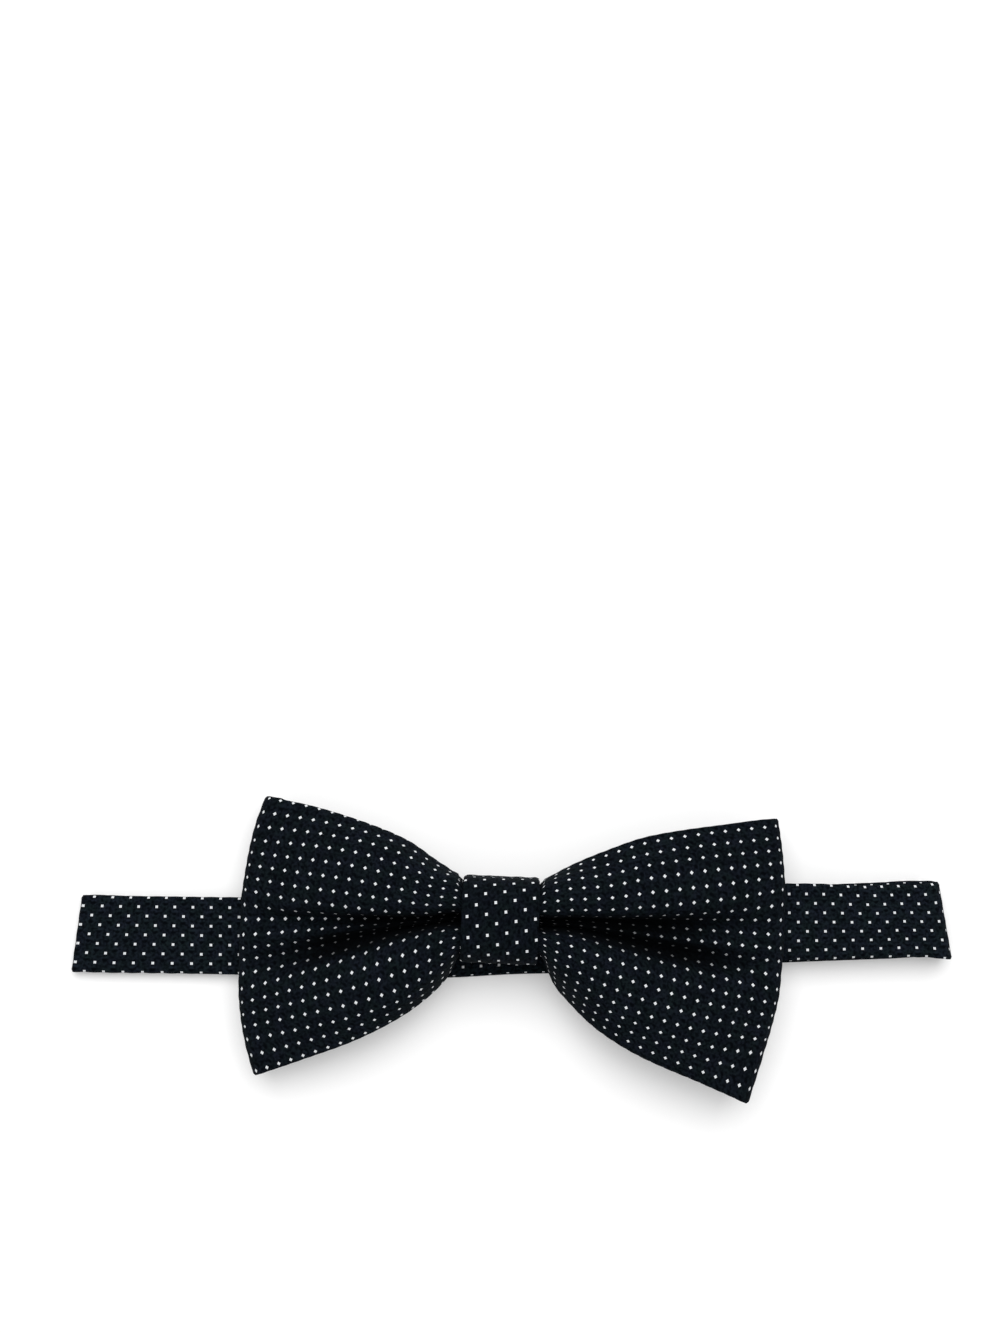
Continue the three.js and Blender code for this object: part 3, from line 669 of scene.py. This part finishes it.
# One dot's x on the band, and how far the cloth is stretched across it and at its left and right
BAND_FIRST_DOT = -76.2
BAND_STRETCH = 1.045
BAND_STRETCH_ENDS = (1.045, 0.96)

# A stop's columns
Y, WIDTH, ARCH = 4, 5, 6


def band_path():
    """Stops along the band: the outer face's x and z, the inner face's x and z, y, the width and the arch."""
    table = np.array(FRONT_LAYER, float)
    front_y, front_z, front_width, front_arch = (through(table[:, 0], table[:, k]) for k in range(1, 5))
    back = np.array(BACK_LAYER, float)
    back_y = through(back[:, 0], back[:, 1])
    stops = []

    def up(x, y, low, width=BAND_WIDTH, arch=0):
        """A stop where the outer face is the upper one."""
        stops.append((x, low + BAND_THICK, x, low, y, width, arch))

    def down(x, y):
        """A stop on the surface, where the outer face is the lower one."""
        stops.append((x, 0, x, BAND_THICK, y, BAND_WIDTH, 0))

    def front(x):
        up(x, float(front_y(x)), float(front_z(x)), float(front_width(x)), float(front_arch(x)))

    def turn(x, z, inner, y, start):
        """A half turn round a centre, clockwise from an angle."""
        for n in range(1, FOLD_CELLS):
            angle = start - math.pi * n / FOLD_CELLS
            c, s = math.cos(angle), math.sin(angle)
            outer = inner + BAND_THICK
            stops.append((x + outer * c, z + outer * s, x + inner * c, z + inner * s, y, BAND_WIDTH, 0))

    def run(start, end, place):
        for x in np.linspace(start, end, max(2, round(abs(end - start) / BAND_STEP))):
            place(float(x))

    left_bar = CLASP["left"] + CLASP["bar"] - HEM_INSET
    right_bar = CLASP["right"] - CLASP["bar"] + HEM_INSET
    hem_low = CLASP["bottom"] + CLASP["thick"] + PIECE_GAP
    hem_turn = (hem_low - BAND_THICK) / 2
    hem_middle = BAND_THICK + hem_turn
    y_left, y_right = float(back_y(left_bar)), float(back_y(right_bar))
    run(left_bar - HEM_LENGTH, left_bar, lambda x: up(x, y_left, hem_low))
    turn(left_bar, hem_middle, hem_turn, y_left, math.pi / 2)
    run(left_bar, BAND_LEFT, lambda x: down(x, float(back_y(x))))

    left_y, left_z = LEFT_FOLD["y"], float(front_z(BAND_LEFT))
    left_inner = (left_z - BAND_THICK) / 2
    left_centre = LEFT_FOLD["x"] + left_inner + BAND_THICK
    run(BAND_LEFT - FOLD_GAP, left_centre, lambda x: down(x, left_y))
    turn(left_centre, BAND_THICK + left_inner, left_inner, left_y, 1.5 * math.pi)
    run(left_centre, BAND_LEFT - FOLD_GAP, lambda x: up(x, left_y, left_z))

    run(BAND_LEFT, BAND_RIGHT, front)

    right_y, right_z = RIGHT_FOLD["y"], float(front_z(BAND_RIGHT))
    right_width = float(front_width(BAND_RIGHT))
    right_inner = (right_z - BAND_THICK) / 2
    right_centre = RIGHT_FOLD["x"] - right_inner - BAND_THICK
    run(
        BAND_RIGHT + FOLD_GAP,
        right_centre,
        lambda x: up(x, right_y, right_z, right_width, RIGHT_FOLD["arch"]),
    )
    turn(right_centre, BAND_THICK + right_inner, right_inner, right_y, math.pi / 2)
    run(right_centre, BAND_RIGHT + FOLD_GAP, lambda x: down(x, right_y))

    run(BAND_RIGHT, right_bar, lambda x: down(x, float(back_y(x))))
    turn(right_bar, hem_middle, hem_turn, y_right, 1.5 * math.pi)
    run(right_bar, right_bar + HEM_LENGTH, lambda x: up(x, y_right, hem_low))
    return np.array(stops)


def make_band():
    stops = band_path()
    # Short steps in the centreline, the width and the arch, as where a layer meets its fold, are smoothed out
    kernel = np.hanning(2 * SMOOTH_STOPS + 1)
    for column in (Y, WIDTH, ARCH):
        padded = np.pad(stops[:, column], SMOOTH_STOPS, mode="edge")
        stops[:, column] = np.convolve(padded, kernel / kernel.sum(), mode="valid")
    across = np.linspace(0.5, -0.5, BAND_CELLS + 1)[None] * (1 - 2 * EDGE_INSET / BAND_WIDTH)
    width, arch = stops[:, [WIDTH]], stops[:, [ARCH]]
    y = stops[:, [Y]] + across * width
    faces = []
    for k in (0, 2):
        x, z = stops[:, k : k + 1], stops[:, k + 1 : k + 2]
        fold = np.where(x < 0, LEFT_FOLD["x"], RIGHT_FOLD["x"])
        slant = np.where(x < 0, LEFT_FOLD["slant"], RIGHT_FOLD["slant"])
        slant = slant * ease(0, 1, (np.abs(x) - SLANT_STARTS) / (np.abs(fold) - SLANT_STARTS))
        faces.append(np.stack([x + slant * across * width, y, z + arch - arch * 4 * across**2], -1))
    middle = (stops[:, :2] + stops[:, 2:4]) / 2
    steps = np.linalg.norm(np.diff(middle, axis=0), axis=1)
    arc = np.concatenate([[0], np.cumsum(steps)])
    # The weave's own length, from a dot at the left of the front layer
    between_x = (middle[1:, 0] + middle[:-1, 0]) / 2
    stretch = mix(*BAND_STRETCH_ENDS, ease(-SLANT_STARTS, SLANT_STARTS, between_x))
    woven = np.concatenate([[0], np.cumsum(steps / stretch)])
    faces_down = stops[:, 1] < stops[:, 3]
    first = np.argmin(np.abs(stops[:, 0] - BAND_FIRST_DOT) + faces_down * arc[-1])
    u = np.broadcast_to(woven[:, None] - woven[first], faces[0].shape[:2])
    v = np.broadcast_to(across * BAND_WIDTH / BAND_STRETCH, faces[0].shape[:2])
    uv = np.stack([u, v], -1)
    outer = raised(faces[0], uv, True)
    # The weave is pressed flat where the band lies on the surface, just clear of it
    outer[..., 2] = np.maximum(outer[..., 2], FLOOR_CLEARANCE)
    return cloth_solid("band_cloth", outer, faces[1], uv), float(arc[-1])


band, band_length = make_band()
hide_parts("neck_band")


# Materials

# The dots: their size, their soft edge, and the slit that parts each one
DOT_SIZE = 0.63
DOT_SOFT_EDGE = 0.09
DOT_SPLIT = 0.07
SPLIT_DARKNESS = 0.55
# Soft marks on one side of each dot: how far from it they lie, their half sizes, and those of their cores
HOLLOW = {"below": 1.5, "half_width": 1.05, "half_height": 0.55}
RIB = {"below": 0.95, "half_width": 0.9, "half_height": 0.35}
MARK_CORE = {"half_width": 0.2, "half_height": 0.05}
# Painted shade in each sunken hollow and painted light on each raised rib, as shares of the ground's colour
HOLLOW_PAINTED_SHADE = 0.9
RIB_PAINTED_LIGHT = 0.7
# The fine diagonal threads
THREAD_PITCH = 0.26
TWILL_LEVEL = 0.9
TWILL_CONTRAST = 0.22
# Noise over the cloth: its scale, its detail, and the shares that its range is spread over
NOISE_RANGE = (0.3, 0.7)
MOTTLE = (1.5, 3.0, 0.1, 1.1)
PATCHES = (0.22, 1.0, 0.75, 1.15)
TINTS = (0.3, 1.0, 0.0, 1.0)
# Heights of the fine relief
DOT_HEIGHT = 0.10
HOLLOW_HEIGHT = -0.14
RIB_HEIGHT = 0.06
TWILL_HEIGHT = 0.018
RELIEF_STRENGTH = 0.6

PAINTED_SHADE_BLACK = (0, 0, 0, 1)
DARK = (0.0003, 0.0008, 0.0017, 1)
NAVY = (0.0064, 0.0088, 0.0142, 1)
GREEN = (0.0052, 0.0092, 0.0106, 1)
DOT_COLOUR = (0.74, 0.76, 0.78, 1)
# How far the painted shade darkens the deepest pleats towards black
FOLD_SHADE = 0.85
CLOTH_SHADER = {
    "Roughness": 0.9,
    "Specular IOR Level": 0.03,
    "Sheen Weight": 0.006,
    "Sheen Roughness": 0.5,
    "Sheen Tint": (0.55, 0.7, 0.9, 1),
}

# The clasp's brush marks are long along x and fine across it
BRUSH_SCALE = (220, 4200, 4200)
BRUSH_DETAIL = 2.0
BRUSH_DEPTH = 0.02
METAL_LIGHT = (0.66, 0.66, 0.68, 1)
METAL_DARK = (0.46, 0.46, 0.49, 1)
METAL_ROUGHNESS = (0.28, 0.46)


class Nodes:
    """Short ways to add and join shader nodes."""

    def __init__(self, name):
        self.material = bpy.data.materials.new(name)
        self.material.use_nodes = True
        self.tree = self.material.node_tree
        self.shader = self.tree.nodes["Principled BSDF"]

    def join(self, value, socket):
        if isinstance(value, bpy.types.NodeSocket):
            self.tree.links.new(value, socket)
        else:
            socket.default_value = value

    def settings(self, values):
        for name, value in values.items():
            self.shader.inputs[name].default_value = value

    def math(self, operation, a, b=0.0, clamp=False):
        made = self.tree.nodes.new("ShaderNodeMath")
        made.operation = operation
        made.use_clamp = clamp
        self.join(a, made.inputs[0])
        self.join(b, made.inputs[1])
        return made.outputs[0]

    def plus(self, a, b):
        return self.math("ADD", a, b)

    def minus(self, a, b):
        return self.math("SUBTRACT", a, b)

    def times(self, a, b):
        return self.math("MULTIPLY", a, b)

    def absolute(self, a):
        return self.math("ABSOLUTE", a)

    def step(self, value, low, high, first=0.0, last=1.0):
        """Goes smoothly from first to last as value goes from low to high."""
        made = self.tree.nodes.new("ShaderNodeMapRange")
        made.interpolation_type = "SMOOTHSTEP"
        made.clamp = True
        for name, number in (("From Min", low), ("From Max", high), ("To Min", first), ("To Max", last)):
            made.inputs[name].default_value = number
        self.join(value, made.inputs["Value"])
        return made.outputs["Result"]

    def blend(self, share, first, second):
        """The first colour where share is 0, and the second where it is 1."""
        made = self.tree.nodes.new("ShaderNodeMix")
        made.data_type = "RGBA"
        self.join(share, made.inputs["Factor"])
        self.join(first, made.inputs["A"])
        self.join(second, made.inputs["B"])
        return made.outputs["Result"]

    def noise(self, place, scale, detail):
        made = self.tree.nodes.new("ShaderNodeTexNoise")
        self.join(place, made.inputs["Vector"])
        made.inputs["Scale"].default_value = scale
        made.inputs["Detail"].default_value = detail
        return made.outputs["Fac"]

    def bump(self, height, distance, strength):
        made = self.tree.nodes.new("ShaderNodeBump")
        made.inputs["Strength"].default_value = strength
        made.inputs["Distance"].default_value = distance
        self.join(height, made.inputs["Height"])
        self.join(made.outputs["Normal"], self.shader.inputs["Normal"])


def level_colour(colour, level):
    return (*(level * part for part in colour[:3]), 1)


def cloth_material(name, straight, level):
    """Dark cloth with small white woven dots.

    straight: the threads run along the piece. level: how light its ground is.
    """
    n = Nodes(name)
    source = n.tree.nodes.new("ShaderNodeUVMap")
    source.uv_map = "cloth"
    place = source.outputs["UV"]
    parts = n.tree.nodes.new("ShaderNodeSeparateXYZ")
    n.join(place, parts.inputs["Vector"])
    u, v = parts.outputs["X"], parts.outputs["Y"]

    # p and q follow the square grid of the dots, and s and t follow the threads
    half = math.sqrt(0.5)
    diagonal = (n.times(n.plus(u, v), half), n.times(n.minus(v, u), half))
    (p, q), (s, t) = (diagonal, (u, v)) if straight else ((u, v), diagonal)

    def from_dot(a):
        """The distance from the nearest dot along one axis of their grid."""
        count = n.math("ROUND", n.math("DIVIDE", a, DOT_PITCH))
        return n.minus(a, n.times(count, DOT_PITCH))

    dp, dq = from_dot(p), from_dot(q)
    ds = n.times(n.minus(dp, dq) if straight else n.plus(dp, dq), half)
    dt = n.times(n.plus(dp, dq) if straight else n.minus(dq, dp), half)

    radius = n.math("MAXIMUM", n.absolute(ds), n.absolute(dt))
    dot = n.step(radius, DOT_SIZE / 2, DOT_SIZE / 2 - DOT_SOFT_EDGE)
    split = n.step(n.absolute(ds), DOT_SPLIT, 0.0)
    white = n.times(dot, n.minus(1.0, n.times(split, SPLIT_DARKNESS)))

    def mark(patch):
        """A soft patch on one side of each dot."""
        across = n.absolute(ds)
        along = n.absolute(n.plus(dt, patch["below"]))
        inside = n.step(across, patch["half_width"], MARK_CORE["half_width"])
        return n.times(inside, n.step(along, patch["half_height"], MARK_CORE["half_height"]))

    # On one side of each dot the ground rises to a rib, which gets painted light, and beyond that it sinks to
    # a hollow, which gets painted shade
    hollow, rib = mark(HOLLOW), mark(RIB)
    twill = n.math("SINE", n.times(n.plus(s, t), 2 * math.pi / THREAD_PITCH))

    def cloud(scale, detail, low, high):
        return n.step(n.noise(place, scale, detail), *NOISE_RANGE, low, high)

    share = n.times(n.minus(1.0, n.times(hollow, HOLLOW_PAINTED_SHADE)), cloud(*MOTTLE))
    share = n.times(share, n.plus(n.times(rib, RIB_PAINTED_LIGHT), 1.0))
    share = n.times(share, cloud(*PATCHES))
    threads = n.plus(n.times(twill, TWILL_CONTRAST), TWILL_LEVEL)
    share = n.math("MULTIPLY", share, threads, clamp=True)
    ground = n.blend(cloud(*TINTS), level_colour(NAVY, level), level_colour(GREEN, level))
    colour = n.blend(white, n.blend(share, DARK, ground), DOT_COLOUR)
    # Painted shade: soft cloth closes further round its pleats than this surface does, so their colour is
    # darkened towards black by how deep they lie
    pleat_shade = n.tree.nodes.new("ShaderNodeAttribute")
    pleat_shade.attribute_name = "pleat_shade"
    colour = n.blend(n.times(pleat_shade.outputs["Fac"], FOLD_SHADE), colour, PAINTED_SHADE_BLACK)
    n.join(colour, n.shader.inputs["Base Color"])

    height = n.plus(n.times(dot, DOT_HEIGHT), n.times(hollow, HOLLOW_HEIGHT))
    height = n.plus(height, n.times(rib, RIB_HEIGHT))
    height = n.plus(height, n.times(twill, TWILL_HEIGHT))
    n.bump(height, MM, RELIEF_STRENGTH)
    n.settings(CLOTH_SHADER)
    return n.material


def metal_material(name):
    """Plain metal with fine brush marks along the slide."""
    n = Nodes(name)
    place = n.tree.nodes.new("ShaderNodeTexCoord").outputs["Object"]
    drawn = n.tree.nodes.new("ShaderNodeMapping")
    n.join(place, drawn.inputs["Vector"])
    drawn.inputs["Scale"].default_value = BRUSH_SCALE
    noise = n.noise(drawn.outputs["Vector"], 1.0, BRUSH_DETAIL)
    marks = n.step(noise, *NOISE_RANGE)
    n.join(n.blend(marks, METAL_DARK, METAL_LIGHT), n.shader.inputs["Base Color"])
    n.join(n.step(noise, *NOISE_RANGE, *METAL_ROUGHNESS), n.shader.inputs["Roughness"])
    n.bump(marks, BRUSH_DEPTH * MM, 1.0)
    n.settings({"Metallic": 1.0})
    return n.material


bow.data.materials.append(cloth_material("bow_cloth", straight=False, level=1.05))
wrap.data.materials.append(cloth_material("wrap_cloth", straight=True, level=0.9))
band.data.materials.append(cloth_material("band_cloth", straight=True, level=1.35))
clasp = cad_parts["band_clasp"]
clasp.data.materials.clear()
clasp.data.materials.append(metal_material("clasp_metal"))


# The floor and the light, in metres

FLOOR_HALF = 3.0
FLOOR_SHADER = {
    "Base Color": (0.80, 0.80, 0.80, 1),
    "Roughness": 1.0,
    "Emission Color": (1, 1, 1, 1),
    "Emission Strength": 0.16,
}
# The key light stands past the top of the picture and faces the middle of the floor
KEY_PLACE = (0.03, 0.52, 0.95)
KEY_SIZE = (1.2, 0.8)
KEY_POWER = 10.5
WORLD_STRENGTH = 0.62


def make_floor():
    corners = [(x * FLOOR_HALF, y * FLOOR_HALF, 0) for x, y in ((-1, -1), (1, -1), (1, 1), (-1, 1))]
    mesh = bpy.data.meshes.new("floor")
    mesh.from_pydata(corners, [], [(0, 1, 2, 3)])
    white = Nodes("floor")
    white.settings(FLOOR_SHADER)
    mesh.materials.append(white.material)
    floor = bpy.data.objects.new("floor", mesh)
    bpy.context.scene.collection.objects.link(floor)


def make_key_light():
    data = bpy.data.lights.new("key", "AREA")
    data.shape = "RECTANGLE"
    data.size, data.size_y = KEY_SIZE
    data.energy = KEY_POWER
    light = bpy.data.objects.new("key", data)
    light.location = KEY_PLACE
    light.rotation_mode = "QUATERNION"
    light.rotation_quaternion = (-mathutils.Vector(KEY_PLACE)).to_track_quat("-Z", "Y")
    bpy.context.scene.collection.objects.link(light)


def make_world():
    world = bpy.data.worlds.new("world")
    world.use_nodes = True
    background = world.node_tree.nodes["Background"]
    background.inputs["Color"].default_value = (1, 1, 1, 1)
    background.inputs["Strength"].default_value = WORLD_STRENGTH
    bpy.context.scene.world = world


make_floor()
make_key_light()
make_world()
bpy.context.scene.view_settings.view_transform = "Standard"
bpy.context.scene.view_settings.look = "None"


# The camera: straight above the floor, as the photograph was taken

CAMERA_HEIGHT = 320.0
CAMERA_Y = 30.9
FRAME_PX = (1000, 1333)
# The scale on the floor, and the row of the picture that lies straight under the camera
MM_PER_PX = 0.229
AXIS_ROW_PX = 800
SENSOR = 36.0
CLIP_START = 0.01
CLIP_END = 20.0

camera = bpy.data.cameras.new("camera")
camera.sensor_width = SENSOR
camera.lens = SENSOR * CAMERA_HEIGHT / (FRAME_PX[1] * MM_PER_PX)
camera.shift_y = (AXIS_ROW_PX - FRAME_PX[1] / 2) / FRAME_PX[1]
camera.clip_start = CLIP_START
camera.clip_end = CLIP_END
eye = bpy.data.objects.new("camera", camera)
eye.location = (0, CAMERA_Y * MM, CAMERA_HEIGHT * MM)
bpy.context.scene.collection.objects.link(eye)
bpy.context.scene.camera = eye
